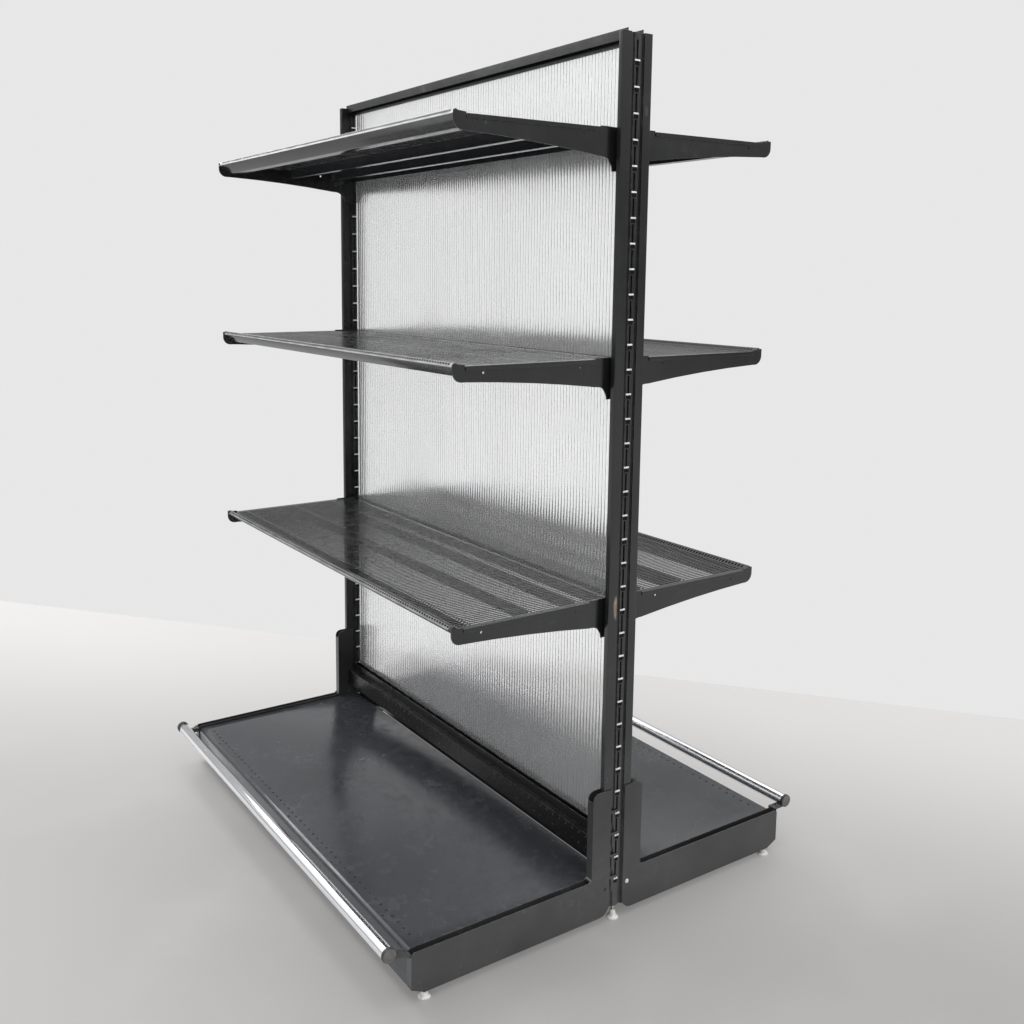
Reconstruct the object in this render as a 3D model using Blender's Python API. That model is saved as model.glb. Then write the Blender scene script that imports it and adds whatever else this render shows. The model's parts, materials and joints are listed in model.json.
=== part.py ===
import math

import bmesh
import bpy
from mathutils import Matrix, Vector

# Sizes in metres: X runs along the bay, Y is the depth, Z is up from the floor.
BAY = 1.200
GAP = 0.0003
RUN = 0.0006

POST_TOP = 1.846
POST_BOTTOM = 0.030
POST_THICK = 0.014
POST_DEPTH = 0.076
POST_WALL = 0.0015
POST_ROUND = 0.0025
POST_PLATE = 0.004
CHORD_DEPTH = 0.021
GROOVE = 0.004
RIB_WIDTH = 0.015
RIB_RISE = 0.0025

SLOT_FIRST = 0.0956
SLOT_PITCH = 0.050
SLOT_HEIGHT = 0.036
SLOT_WIDTH = 0.0046
HOOK_THICK = 0.0016
HOOK_NOSE = 0.0022
HOOK_DROP = 0.006

SHEET = 0.0020
THIN = 0.0012

LEG_FRONT = 0.509
LEG_TOP = 0.107
LEG_BOTTOM = 0.017
LEG_HEEL = 0.0185
LEG_HEEL_ROUND = 0.0245
LEG_TAB = 0.068
LEG_TAB_TOP = 0.303
LEG_CORNER = 0.015
LEG_BEND = 0.006
LEG_TOE_LONG = 0.030
LEG_TOE_RISE = 0.014
LEG_SOLE = 0.065
LEG_HOLE = 0.0035
LEG_HOOKS = 4
LEG_HOOK_UP = 0.008
LEG_HOOK_DOWN = 0.026
LEG_HOOK_SLIT = 0.004
LEG_HOOK_STRIP = 0.0075
LEG_HOOK_BAR = 0.005

DECK_TOP = 0.102
DECK_BACK = 0.011
DECK_FRONT = 0.508
DECK_LIP = 0.072
DECK_ROUND = 0.012
DECK_END_CLEAR = 0.0016
DECK_LUG = 0.016

TUBE_RADIUS = 0.0135
TUBE_WALL = 0.0015
TUBE_OUT = 0.0425
TUBE_HEIGHT = 0.1133
TUBE_SHORT = 0.006
CAP_HEAD = 0.007
CAP_RIM = 0.0015
CAP_PLUG = 0.014
ARM_WIDTH = 0.012
ARM_ROOT = 0.014
ARM_INSET = 0.003
ARM_UNDER = 0.004
ARM_TOP_DROP = 0.0063

FOOT_RADIUS = 0.0125
FOOT_NECK = 0.010
FOOT_STEM = 0.003
FOOT_STEM_UP = 0.025
GLIDE_RADIUS = 0.0125
GLIDE_STEM = 0.004
GLIDE_STEM_UP = 0.030
GLIDE_BACK = 0.034
STEM_CLEAR = 0.0007

SHELF_FRONT = 0.4085
SHELF_BACK = 0.016
SHELF_SLOTS_DOWN = {"low": 22, "mid": 12, "top": 3}
SHELF_RISE = 0.0225
SHELF_STOP = 0.0025
TRAY_END = 0.012
TRAY_LIP = 0.008
TRAY_NOSE = 0.022
TRAY_NOSE_ROUND = 0.015
TRAY_CREST = 0.005
TRAY_CREST_ROUND = 0.004
TRAY_RAMP = 0.018
TRAY_RETURN = 0.0425
TRAY_RETURN_GAP = 0.004
TRAY_STIFFENER = 0.027
TRAY_STIFFENER_FOOT = 0.014
TRAY_STIFFENERS_AT = (0.090, 0.210)
TRAY_OPENINGS = 12
TRAY_OPEN_SHARE = 0.5
TRAY_OPEN_CLEAR = 0.006

BRACKET_FRONT = 0.0325
BRACKET_REAR = 0.058
BRACKET_HEEL = 0.085
BRACKET_NOSE = 0.0277
BRACKET_NOSE_ROUND = 0.020
BRACKET_NOSE_CORNER = 0.0013
BRACKET_ARCH = 0.0035
BRACKET_HOLE_IN = 0.041
BRACKET_BLOCK = 0.0325
BRACKET_JOG = 0.0032
BRACKET_JOG_STEP = 5
BRACKET_SHELF = 0.013
BRACKET_HOLE = 0.0024

PANEL_THICK = 0.010
PANEL_SKIN = 0.0009
PANEL_END = 0.028
RAIL_WIDTH = 0.040
RAIL_WALL = 0.0015
RAIL_HEIGHT = 0.020
RAIL_ABOVE = 0.008
RAIL_FLOOR = 0.004
RAIL_GRIP = 0.012
RAIL_EAR = 0.006
BOTTOM_RAIL = 0.180
KICK_FACE = 0.036
KICK_LOW = 0.135
KICK_END_CLEAR = 0.0025

# Places that follow from the sizes.
post_x = BAY / 2
post_half = POST_THICK / 2
chord_inner = POST_DEPTH / 2 - CHORD_DEPTH
groove_floor = post_half - GROOVE
rib_face = groove_floor + RIB_RISE
rib_inner = rib_face - POST_WALL
slot_count = int((POST_TOP - SLOT_FIRST - SLOT_HEIGHT - 0.004) / SLOT_PITCH) + 1
leg_inside = post_half + GAP
leg_outside = leg_inside + SHEET
deck_half = post_x - leg_outside - DECK_END_CLEAR
tube_depth = LEG_FRONT + TUBE_OUT
tube_half = post_x - TUBE_SHORT
tray_outer = post_x - TRAY_END
body_outer = tray_outer - THIN - RUN
tray_front_half = body_outer - SHEET - RUN
jog_outer = body_outer - BRACKET_JOG
tray_back_half = jog_outer - SHEET - 0.002
block_depth = POST_DEPTH / 2 + BRACKET_BLOCK
nose_depth = SHELF_FRONT - BRACKET_NOSE
return_depth = SHELF_FRONT - TRAY_NOSE / 2 - TRAY_RETURN
panel_half = post_x - PANEL_END
rail_floor_top = POST_TOP + RAIL_ABOVE - RAIL_HEIGHT + RAIL_FLOOR + RAIL_WALL
grip_inner = PANEL_THICK / 2 + GAP
grip_outer = grip_inner + RAIL_WALL
kick_half = post_x - leg_outside - KICK_END_CLEAR

BLACK = ((0.022, 0.023, 0.026), 0.42, 0.0)
CHROME = ((0.80, 0.80, 0.82), 0.12, 1.0)
DARK_PLASTIC = ((0.12, 0.12, 0.13), 0.5, 0.0)
WHITE_PLASTIC = ((0.86, 0.86, 0.84), 0.45, 0.0)
CLEAR_PLASTIC = ((0.86, 0.89, 0.92), 0.25, 0.0)


def new_object(name, shape):
    # Turn a bmesh into an object with its faces pointing out.
    bmesh.ops.recalc_face_normals(shape, faces=shape.faces)
    mesh = bpy.data.meshes.new(name)
    shape.to_mesh(mesh)
    shape.free()
    item = bpy.data.objects.new(name, mesh)
    bpy.context.scene.collection.objects.link(item)
    return item


def prism(name, outlines, axis, low, high):
    # Extrude one or more closed outlines along an axis; an outline lists its two other coordinates.
    shape = bmesh.new()
    for outline in outlines:
        corners = []
        for first, second in outline:
            spot = {"X": (low, first, second), "Y": (first, low, second), "Z": (first, second, low)}[axis]
            corners.append(shape.verts.new(spot))
        face = shape.faces.new(corners)
        grown = bmesh.ops.extrude_face_region(shape, geom=[face])
        moved = [part for part in grown["geom"] if isinstance(part, bmesh.types.BMVert)]
        along = {"X": (1, 0, 0), "Y": (0, 1, 0), "Z": (0, 0, 1)}[axis]
        bmesh.ops.translate(shape, verts=moved, vec=Vector(along) * (high - low))
    return new_object(name, shape)


def block(name, low, high):
    size = [high[k] - low[k] for k in range(3)]
    middle = [(high[k] + low[k]) / 2 for k in range(3)]
    shape = bmesh.new()
    bmesh.ops.create_cube(shape, size=1.0, matrix=Matrix.Translation(middle) @ Matrix.Diagonal((*size, 1.0)))
    return new_object(name, shape)


def rod(name, radius, axis, low, high, centre, sides):
    # A cylinder along an axis; centre gives its two other coordinates.
    turn = {"X": Matrix.Rotation(math.pi / 2, 4, "Y"), "Z": Matrix.Identity(4)}[axis]
    middle = (low + high) / 2
    spot = {"X": (middle, centre[0], centre[1]), "Z": (centre[0], centre[1], middle)}[axis]
    shape = bmesh.new()
    bmesh.ops.create_cone(shape, cap_ends=True, segments=sides, radius1=radius, radius2=radius,
                          depth=high - low, matrix=Matrix.Translation(spot) @ turn)
    return new_object(name, shape)


def turned(name, profile, sides):
    # Spin a profile of radius and height about Z; the profile starts and ends on the axis.
    shape = bmesh.new()
    corners = [shape.verts.new((radius, 0.0, height)) for radius, height in profile]
    edges = [shape.edges.new(pair) for pair in zip(corners, corners[1:])]
    bmesh.ops.spin(shape, geom=corners + edges, cent=(0, 0, 0), axis=(0, 0, 1), angle=2 * math.pi,
                   steps=sides, use_duplicate=False)
    bmesh.ops.remove_doubles(shape, verts=shape.verts, dist=0.00001)
    return new_object(name, shape)


def arc(centre, radius, start, end, steps):
    # Points on an arc, angles in degrees.
    points = []
    for step in range(steps + 1):
        angle = math.radians(start + (end - start) * step / steps)
        points.append((centre[0] + radius * math.cos(angle), centre[1] + radius * math.sin(angle)))
    return points


def folded(path, thickness):
    # The closed outline of a sheet that follows a path, with its thickness to the right of the path.
    inner = []
    for index, point in enumerate(path):
        here = Vector(point)
        sides = []
        if index > 0:
            sides.append((here - Vector(path[index - 1])).normalized())
        if index < len(path) - 1:
            sides.append((Vector(path[index + 1]) - here).normalized())
        normals = [Vector((side.y, -side.x)) for side in sides]
        middle = sum(normals, Vector((0, 0))).normalized()
        inner.append(tuple(here + middle * thickness / middle.dot(normals[0])))
    return list(path) + inner[::-1]


def combine(item, operation, tool):
    # Join, cut or trim with a Boolean and keep the result as the object's own mesh.
    tool.hide_render = True
    tool.display_type = "WIRE"
    change = item.modifiers.new("combine", "BOOLEAN")
    change.operation = operation
    change.solver = "EXACT"
    change.object = tool
    depsgraph = bpy.context.evaluated_depsgraph_get()
    result = bpy.data.meshes.new_from_object(item.evaluated_get(depsgraph))
    item.modifiers.clear()
    item.data = result
    bpy.data.objects.remove(tool)
    return item


def mirrored(item, name):
    # A copy with X turned the other way, faces still pointing out.
    shape = bmesh.new()
    shape.from_mesh(item.data)
    bmesh.ops.scale(shape, vec=(-1, 1, 1), verts=shape.verts)
    bmesh.ops.reverse_faces(shape, faces=shape.faces)
    mesh = bpy.data.meshes.new(name)
    shape.to_mesh(mesh)
    shape.free()
    return mesh


def take_mesh(item):
    # Keep an object's mesh as a pattern and drop the object.
    mesh = item.data
    bpy.data.objects.remove(item)
    return mesh


def piece(name, mesh, look, location=(0, 0, 0), turn=0.0, smooth=False):
    # One named sub-part with its own mesh and its own material.
    colour, roughness, metallic = look
    finish = bpy.data.materials.new(name)
    finish.use_nodes = True
    shader = finish.node_tree.nodes["Principled BSDF"]
    shader.inputs["Base Color"].default_value = (*colour, 1.0)
    shader.inputs["Roughness"].default_value = roughness
    shader.inputs["Metallic"].default_value = metallic
    own = mesh.copy()
    own.name = name
    own.materials.clear()
    own.materials.append(finish)
    if smooth:
        own.shade_smooth()
        own.set_sharp_from_angle(angle=math.radians(35))
    item = bpy.data.objects.new(name, own)
    bpy.context.scene.collection.objects.link(item)
    item.location = location
    item.rotation_euler = (0, 0, turn)
    return item


def post_outline(inset):
    # The upright's section, moved inwards by a wall thickness.
    half = post_half - inset
    depth = POST_DEPTH / 2 - inset
    chord = chord_inner + inset
    floor = groove_floor - inset
    rib = rib_face - inset
    rib_half = RIB_WIDTH / 2 - inset
    corner = max(POST_ROUND - inset, 0.0005)
    side = arc((half - corner, -depth + corner), corner, -90, 0, 2)
    side += [(half, -chord), (floor, -chord), (floor, -rib_half), (rib, -rib_half)]
    side += [(x, -y) for x, y in reversed(side)]
    return side + [(-x, -y) for x, y in side]


def build_upright():
    post = prism("upright", [post_outline(0.0)], "Z", POST_BOTTOM, POST_TOP)
    hollow = prism("hollow", [post_outline(POST_WALL)], "Z", POST_BOTTOM + POST_PLATE, POST_TOP + 0.01)
    combine(post, "DIFFERENCE", hollow)
    slots = []
    for index in range(slot_count):
        low = SLOT_FIRST + SLOT_PITCH * index
        high = low + SLOT_HEIGHT
        half = SLOT_WIDTH / 2
        slots.append([(-half, low), (half, low), (half, high), (-half, high)])
    combine(post, "DIFFERENCE", prism("slots", slots, "X", -post_half - 0.01, post_half + 0.01))
    plate_top = POST_BOTTOM + POST_PLATE
    stem = rod("stem", FOOT_STEM + STEM_CLEAR, "Z", POST_BOTTOM - 0.01, plate_top + 0.01, (0, 0), 16)
    return combine(post, "DIFFERENCE", stem)


def hook_outline(root, wall, low, height, way):
    # A hook seen along Y: it passes a slot's wall and drops behind it; way is the direction it points in.
    near = wall + way * GAP
    tip = near + way * HOOK_NOSE
    return [(root, low + GAP), (near, low + GAP), (near, low - HOOK_DROP), (tip, low - HOOK_DROP),
            (tip, low + height), (root, low + height)]


def build_leg(inner):
    # A rear leg, seen with the upright's middle at X 0; inner is the side of X that the deck lies on.
    heel = arc((LEG_HEEL + LEG_HEEL_ROUND, LEG_BOTTOM + LEG_HEEL_ROUND), LEG_HEEL_ROUND, 270, 180, 4)
    corner = arc((LEG_TAB - LEG_CORNER, LEG_TAB_TOP - LEG_CORNER), LEG_CORNER, 90, 0, 4)
    outline = heel + [(LEG_HEEL, LEG_TAB_TOP)] + corner
    outline += [(LEG_TAB, LEG_TOP + LEG_BEND), (LEG_TAB + LEG_BEND, LEG_TOP)]
    outline += [(LEG_FRONT - LEG_BEND, LEG_TOP), (LEG_FRONT, LEG_TOP - LEG_BEND)]
    outline += [(LEG_FRONT, LEG_BOTTOM + LEG_TOE_RISE), (LEG_FRONT - LEG_TOE_LONG, LEG_BOTTOM)]
    leg = prism("leg", [outline], "X", -leg_outside, leg_outside)
    sole = LEG_BOTTOM + POST_PLATE
    toe = LEG_TOE_RISE + POST_PLATE
    strip_end = LEG_TAB_TOP - LEG_CORNER - 0.002
    inside = [(LEG_HEEL - 0.02, LEG_BOTTOM - 0.02), (LEG_FRONT - LEG_SOLE, LEG_BOTTOM - 0.02)]
    inside += [(LEG_FRONT - LEG_SOLE, sole), (LEG_FRONT - LEG_TOE_LONG, sole)]
    inside += [(LEG_FRONT - SHEET, LEG_BOTTOM + toe), (LEG_FRONT - SHEET, LEG_TOP + 0.02)]
    inside += [(LEG_TAB + 0.003, LEG_TOP + 0.02), (LEG_TAB + 0.003, LEG_TOP - 0.002)]
    inside += [(LEG_TAB - SHEET, LEG_TOP - 0.002), (LEG_TAB - SHEET, strip_end), (LEG_TAB + 0.02, strip_end)]
    inside += [(LEG_TAB + 0.02, LEG_TAB_TOP + 0.02), (LEG_HEEL - 0.02, LEG_TAB_TOP + 0.02)]
    combine(leg, "DIFFERENCE", prism("inside", [inside], "X", -leg_inside, leg_inside))
    plates = []
    hooks = []
    root = LEG_HEEL - LEG_HOOK_SLIT
    lap = LEG_HEEL + 0.001
    for index in range(LEG_HOOKS):
        low = SLOT_FIRST + SLOT_PITCH * index
        top = low + LEG_HOOK_UP
        neck = top - LEG_HOOK_BAR
        strip = [(root - LEG_HOOK_STRIP, low - LEG_HOOK_DOWN), (root, low - LEG_HOOK_DOWN), (root, neck)]
        bar = [(lap, neck), (lap, top), (GAP, top), (GAP, neck), (root - LEG_HOOK_STRIP, neck)]
        plates.append(strip + bar)
        hooks.append(hook_outline(-(leg_inside + leg_outside) / 2, -rib_inner, low, LEG_HOOK_UP, 1))
    combine(leg, "UNION", prism("plates", plates, "X", -leg_outside, -leg_inside))
    combine(leg, "UNION", prism("hooks", hooks, "Y", GAP, GAP + HOOK_THICK))
    lug_top = DECK_TOP - THIN - GAP
    reach = sorted((inner * (leg_inside + SHEET / 2), inner * (leg_outside + DECK_LUG)))
    lug = block("lug", (reach[0], LEG_TAB + 0.032, lug_top - SHEET), (reach[1], LEG_FRONT - 0.05, lug_top))
    combine(leg, "UNION", lug)
    hole = rod("hole", LEG_HOLE, "X", -leg_outside - 0.01, leg_outside + 0.01, (LEG_HEEL + 0.0125, 0.0795), 12)
    combine(leg, "DIFFERENCE", hole)
    glide = (0, LEG_FRONT - GLIDE_BACK)
    stem = rod("stem", GLIDE_STEM + STEM_CLEAR, "Z", LEG_BOTTOM - 0.01, sole + 0.01, glide, 16)
    return combine(leg, "DIFFERENCE", stem)


def build_deck():
    # The rear deck: a sheet with a lip along its back and its rounded front, top at Z 0.
    front = arc((DECK_FRONT - DECK_ROUND, -DECK_ROUND), DECK_ROUND, 90, 0, 5)
    path = [(DECK_BACK, -0.018), (DECK_BACK, 0.0)] + front + [(DECK_FRONT, -DECK_LIP)]
    return prism("deck", [folded(path, THIN)], "X", -deck_half, deck_half)


def build_tube():
    tube = rod("tube", TUBE_RADIUS, "X", -tube_half, tube_half, (0, 0), 28)
    bore = rod("bore", TUBE_RADIUS - TUBE_WALL, "X", -tube_half - 0.01, tube_half + 0.01, (0, 0), 28)
    return combine(tube, "DIFFERENCE", bore)


def build_cap():
    # A turned cap along Z with a plug that enters the tube.
    plug = (TUBE_RADIUS - TUBE_WALL) * math.cos(math.pi / 28) - GAP
    edge = TUBE_RADIUS + CAP_RIM
    profile = [(0, CAP_HEAD), (edge - 0.003, CAP_HEAD), (edge, CAP_HEAD - 0.0018), (edge, GAP)]
    profile += [(plug, GAP), (plug, -CAP_PLUG), (0, -CAP_PLUG)]
    return turned("cap", profile, 24)


def build_arm():
    # The right rear arm: wide at the leg's front, narrow at the tube, which it is hollowed to take.
    half = ARM_WIDTH / 2
    start = LEG_FRONT + GAP
    outline = [(-half, start), (half + ARM_ROOT, start), (half, start + ARM_ROOT)]
    outline += [(half, tube_depth), (-half, tube_depth)]
    arm = prism("arm", [outline], "Z", TUBE_HEIGHT - TUBE_RADIUS - ARM_UNDER, TUBE_HEIGHT - ARM_TOP_DROP)
    seat = rod("seat", TUBE_RADIUS + GAP, "X", -ARM_WIDTH, ARM_WIDTH, (tube_depth, TUBE_HEIGHT), 28)
    return combine(arm, "DIFFERENCE", seat)


def build_foot(radius, stem, top, stem_top):
    # A levelling foot: a dished pad, a cone and a threaded stem.
    profile = [(0, 0), (radius * 0.92, 0), (radius, 0.0012), (radius, 0.005)]
    profile += [(stem * 1.5, top), (stem, top), (stem, stem_top), (0, stem_top)]
    return turned("foot", profile, 20)


def build_tray():
    # The rear tray, top at Z 0: raised and rounded front edge, lips over the brackets, stiffeners below.
    crest = TRAY_CREST_ROUND
    nose = arc((SHELF_FRONT - crest, TRAY_CREST - crest), crest, 105, 0, 5)
    nose += arc((SHELF_FRONT - TRAY_NOSE_ROUND, TRAY_NOSE_ROUND - TRAY_NOSE), TRAY_NOSE_ROUND, 0, -90, 6)
    path = [(SHELF_BACK, -TRAY_NOSE), (SHELF_BACK, 0.0), (SHELF_FRONT - TRAY_RAMP, 0.0)] + nose
    path += [(return_depth, -TRAY_NOSE), (return_depth, -THIN - TRAY_RETURN_GAP)]
    tray = prism("tray", [folded(path, THIN)], "X", -tray_front_half, tray_front_half)
    for way in (1, -1):
        inner = way * (tray_front_half - 0.004)
        outer = way * tray_outer
        lip = way * (tray_outer - THIN)
        wing = [(inner, 0.0), (outer, 0.0), (outer, -TRAY_LIP), (lip, -TRAY_LIP), (lip, -THIN), (inner, -THIN)]
        combine(tray, "UNION", prism("wing", [wing], "Y", block_depth + RUN, nose_depth - RUN))
        notch = block("notch", (min(way * tray_back_half, way * 2), SHELF_BACK - 0.01, -0.1),
                      (max(way * tray_back_half, way * 2), block_depth + RUN, 0.1))
        combine(tray, "DIFFERENCE", notch)
    reach = tray_back_half - BRACKET_SHELF - 0.006
    for depth in TRAY_STIFFENERS_AT:
        path = [(depth - TRAY_STIFFENER_FOOT, -TRAY_STIFFENER), (depth, -TRAY_STIFFENER), (depth, -THIN / 2)]
        combine(tray, "UNION", prism("rib", [folded(path, -THIN)], "X", -reach, reach))
    # Openings that stand for the fine slots, in rows between the stiffeners and the return.
    pitch = 2 * tray_back_half / TRAY_OPENINGS
    half = pitch * TRAY_OPEN_SHARE / 2
    starts = (SHELF_BACK, *TRAY_STIFFENERS_AT, return_depth)
    feet = [depth - TRAY_STIFFENER_FOOT for depth in TRAY_STIFFENERS_AT]
    openings = []
    for start, end in zip(starts, (*feet, return_depth, SHELF_FRONT - TRAY_RAMP)):
        low = start + THIN + TRAY_OPEN_CLEAR
        high = end - TRAY_OPEN_CLEAR
        for index in range(TRAY_OPENINGS):
            left = (index + 0.5) * pitch - tray_back_half - half
            right = left + 2 * half
            openings.append([(left, low), (right, low), (right, high), (left, high)])
    return combine(tray, "DIFFERENCE", prism("openings", openings, "Z", -2 * THIN, THIN))


def ribbon(name, stations, thickness):
    # A plate on edge: each station gives depth, outer X, top and bottom.
    shape = bmesh.new()
    rings = []
    for depth, outer, top, bottom in stations:
        spots = [(outer, depth, top), (outer, depth, bottom), (outer - thickness, depth, bottom),
                 (outer - thickness, depth, top)]
        rings.append([shape.verts.new(spot) for spot in spots])
    for first, second in zip(rings, rings[1:]):
        for index in range(4):
            other = (index + 1) % 4
            shape.faces.new((first[index], first[other], second[other], second[index]))
    shape.faces.new(rings[0])
    shape.faces.new(rings[-1])
    return new_object(name, shape)


def build_bracket():
    # The right rear bracket at Z 0 for its top: hook plate, jog, tapered body, rounded nose.
    post_front = POST_DEPTH / 2
    body_top = -SHELF_STOP - THIN - GAP
    slope = (BRACKET_REAR - BRACKET_FRONT) / (nose_depth - block_depth)
    stations = [(GAP, jog_outer, 0.0, -BRACKET_HEEL)]
    fillet = BRACKET_HEEL - BRACKET_REAR
    heel = arc((post_front + fillet, -BRACKET_HEEL), fillet, 180, 90, 8)
    for step, (depth, bottom) in enumerate(heel):
        stations.append((depth, jog_outer if step < BRACKET_JOG_STEP else body_outer, 0.0, bottom))
    stations.append((block_depth - GAP, body_outer, 0.0, -BRACKET_REAR))
    stations.append((block_depth, body_outer, body_top, -BRACKET_REAR))
    for step in range(1, 9):
        reach = step / 8 * (nose_depth - block_depth)
        bow = BRACKET_ARCH * (1 - (step / 4 - 1) ** 2)
        stations.append((block_depth + reach, body_outer, body_top, -BRACKET_REAR + slope * reach + bow))
    stations.append((nose_depth + GAP, body_outer, 0.0, -BRACKET_FRONT))
    # The nose rises to the tray's crest, with a sharp upper and a well rounded lower corner.
    crest = TRAY_CREST - SHELF_STOP
    for depth, bottom in arc((SHELF_FRONT - BRACKET_NOSE_ROUND, BRACKET_NOSE_ROUND - BRACKET_FRONT),
                             BRACKET_NOSE_ROUND, -90, 0, 6):
        top = crest * (depth - nose_depth) / BRACKET_NOSE
        stations.append((depth, body_outer, top if depth < SHELF_FRONT else crest - BRACKET_NOSE_CORNER, bottom))
    bracket = ribbon("bracket", stations, SHEET)
    shelf = block("shelf", (body_outer - SHEET - BRACKET_SHELF, block_depth + 0.012, body_top - SHEET),
                  (body_outer - SHEET / 2, return_depth - TRAY_RETURN_GAP, body_top))
    combine(bracket, "UNION", shelf)
    hooks = []
    for step in (0, 1):
        low = -SHELF_RISE - SLOT_PITCH * step
        hooks.append(hook_outline(jog_outer - SHEET / 2, post_x - rib_inner, low, 0.020, 1))
    combine(bracket, "UNION", prism("hooks", hooks, "Y", GAP, GAP + HOOK_THICK))
    for depth in (block_depth + 0.040, nose_depth - BRACKET_HOLE_IN):
        hole = rod("hole", BRACKET_HOLE, "X", post_x - 0.1, post_x + 0.1, (depth, -SHELF_RISE + 0.0062), 10)
        combine(bracket, "DIFFERENCE", hole)
    return bracket


def build_top_rail():
    half = RAIL_WIDTH / 2
    top = POST_TOP + RAIL_ABOVE
    low = top - RAIL_HEIGHT
    floor = rail_floor_top
    under = floor - RAIL_WALL
    grip = under - RAIL_GRIP
    wall = half - RAIL_WALL
    side = [(wall, floor), (wall, top), (half, top), (half, low), (wall, low)]
    side += [(wall, under), (grip_outer, under), (grip_outer, grip), (grip_inner, grip)]
    side += [(grip_inner, under)]
    outline = side + [(-y, z) for y, z in reversed(side)]
    rail_half = post_x - post_half - GAP
    rail = prism("top_rail", [outline], "X", -rail_half, rail_half)
    for way in (1, -1):
        ears = []
        for flank in (1, -1):
            y = flank * half
            inner = flank * wall
            ears.append([(y, POST_TOP + GAP), (y, top), (inner, top), (inner, POST_TOP + GAP)])
        near = way * (rail_half - 0.004)
        far = way * (post_x - post_half + RAIL_EAR)
        combine(rail, "UNION", prism("ears", ears, "X", min(near, far), max(near, far)))
    return rail


def build_bottom_rail():
    half = RAIL_WIDTH / 2
    low = BOTTOM_RAIL
    top = low + RAIL_HEIGHT
    floor = low + RAIL_FLOOR + RAIL_WALL
    under = low + RAIL_FLOOR
    wall = half - RAIL_WALL
    side = [(wall, under), (wall, low), (half, low), (half, top), (wall, top)]
    side += [(wall, floor), (grip_outer, floor), (grip_outer, top), (grip_inner, top)]
    side += [(grip_inner, floor)]
    outline = side + [(-y, z) for y, z in reversed(side)]
    return prism("bottom_rail", [outline], "X", -kick_half, kick_half)


def build_panel():
    low = BOTTOM_RAIL + RAIL_FLOOR + RAIL_WALL + GAP
    high = rail_floor_top - RAIL_WALL - GAP
    half = PANEL_THICK / 2
    panel = block("panel", (-panel_half, -half, low), (panel_half, half, high))
    inner = half - PANEL_SKIN
    inner_half = panel_half - PANEL_SKIN
    flute = block("flute", (-inner_half, -inner, low - 0.1), (inner_half, inner, high + 0.1))
    return combine(panel, "DIFFERENCE", flute)


def build_kick_strip():
    # The rear kick strip: a face plate with a ledge under the bottom rail.
    top = BOTTOM_RAIL - GAP
    path = [(0.003, top), (KICK_FACE, top), (KICK_FACE, KICK_LOW)]
    return prism("kick_strip", [folded(path, THIN)], "X", -kick_half, kick_half)


def main():
    for item in list(bpy.data.objects):
        bpy.data.objects.remove(item, do_unlink=True)

    upright = take_mesh(build_upright())
    foot = take_mesh(build_foot(FOOT_RADIUS, FOOT_STEM, POST_BOTTOM - FOOT_NECK, POST_BOTTOM + FOOT_STEM_UP))
    for side, way in (("left", -1), ("right", 1)):
        piece("upright_" + side, upright, BLACK, (way * post_x, 0, 0))
        piece("upright_foot_" + side, foot, WHITE_PLASTIC, (way * post_x, 0, 0), smooth=True)

    leg_meshes = {1: take_mesh(build_leg(-1)), -1: take_mesh(build_leg(1))}
    glide = take_mesh(build_foot(GLIDE_RADIUS, GLIDE_STEM, LEG_BOTTOM - 0.003, LEG_BOTTOM + GLIDE_STEM_UP))
    cap = take_mesh(build_cap())
    arm = build_arm()
    arm_meshes = {1: arm.data, -1: mirrored(arm, "arm_left")}
    take_mesh(arm)
    deck = take_mesh(build_deck())
    tube = take_mesh(build_tube())
    tray = take_mesh(build_tray())
    bracket = build_bracket()
    bracket_meshes = {1: bracket.data, -1: mirrored(bracket, "bracket_left")}
    take_mesh(bracket)
    kick = take_mesh(build_kick_strip())

    # A piece made for the back is turned half round for the front, so its hand changes over.
    for face, way, turn in (("back", 1, 0.0), ("front", -1, math.pi)):
        piece("base_deck_" + face, deck, BLACK, (0, 0, DECK_TOP), turn, smooth=True)
        piece("bumper_tube_" + face, tube, CHROME, (0, way * tube_depth, TUBE_HEIGHT), turn, smooth=True)
        piece("kick_strip_" + face, kick, BLACK, (0, 0, 0), turn)
        for side, hand in (("left", -1), ("right", 1)):
            corner = face + "_" + side
            x = hand * post_x
            piece("base_leg_" + corner, leg_meshes[hand * way], BLACK, (x, 0, 0), turn)
            glide_y = way * (LEG_FRONT - GLIDE_BACK)
            piece("leg_glide_" + corner, glide, WHITE_PLASTIC, (x, glide_y, 0), smooth=True)
            arm_x = hand * (post_x - leg_outside - ARM_INSET)
            piece("bumper_arm_" + corner, arm_meshes[hand * way], BLACK, (arm_x, 0, 0), turn)
            end = piece("bumper_cap_" + corner, cap, DARK_PLASTIC, smooth=True)
            end.location = (hand * tube_half, way * tube_depth, TUBE_HEIGHT)
            end.rotation_euler = (0, hand * math.pi / 2, 0)
        for level, down in SHELF_SLOTS_DOWN.items():
            height = SLOT_FIRST + SLOT_PITCH * (slot_count - 1 - down) + SHELF_RISE
            tray_top = (0, 0, height - SHELF_STOP)
            piece("shelf_tray_" + level + "_" + face, tray, BLACK, tray_top, turn, smooth=True)
            for side, hand in (("left", -1), ("right", 1)):
                name = "shelf_bracket_" + level + "_" + face + "_" + side
                piece(name, bracket_meshes[hand * way], BLACK, (0, 0, height), turn)

    piece("top_rail", take_mesh(build_top_rail()), BLACK)
    piece("bottom_rail", take_mesh(build_bottom_rail()), BLACK)
    piece("back_panel", take_mesh(build_panel()), CLEAR_PLASTIC)


main()
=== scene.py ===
import json
import math
import bmesh
import bpy
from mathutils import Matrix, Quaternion, Vector

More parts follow.
